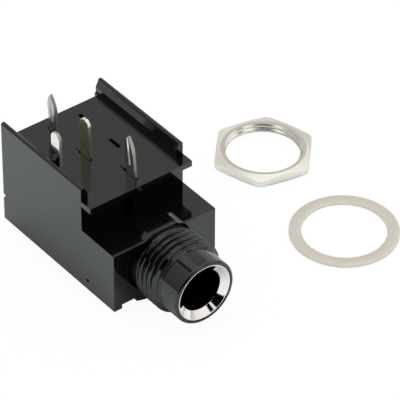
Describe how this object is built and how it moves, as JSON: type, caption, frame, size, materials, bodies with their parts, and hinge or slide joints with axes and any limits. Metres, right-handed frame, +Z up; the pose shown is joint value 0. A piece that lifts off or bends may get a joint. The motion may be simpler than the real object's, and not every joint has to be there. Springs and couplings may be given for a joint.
{
  "type": "phone jack",
  "caption": "Board-mounted phone jack in black plastic with a threaded panel nose, a bright mouth ring, upright contact pins, and its panel nut and washer beside it.",
  "frame": {"origin": "on the axis of the plug bore, in the plane of the panel face", "axes": "-Y out of the nose along the plug bore, +Z up towards the ends of the contact pins, +X to the right as the nose is looked at"},
  "size_m": [0.0452, 0.0384, 0.022],
  "materials": {
    "black_plastic": "smooth moulded black",
    "bright_ring": "bright nickel plate",
    "contact_metal": "tinned strip with stamped edges",
    "panel_hardware": "dull nickel plate"
  },
  "bodies": {
    "root": {"housing": "black_plastic", "mouth_ferrule": "bright_ring", "tip_contact": "contact_metal", "ring_contact": "contact_metal", "sleeve_contact": "contact_metal", "switch_contact": "contact_metal", "bottom_cover": "black_plastic", "panel_nut": "panel_hardware", "panel_washer": "panel_hardware"}
  },
  "joints": []
}
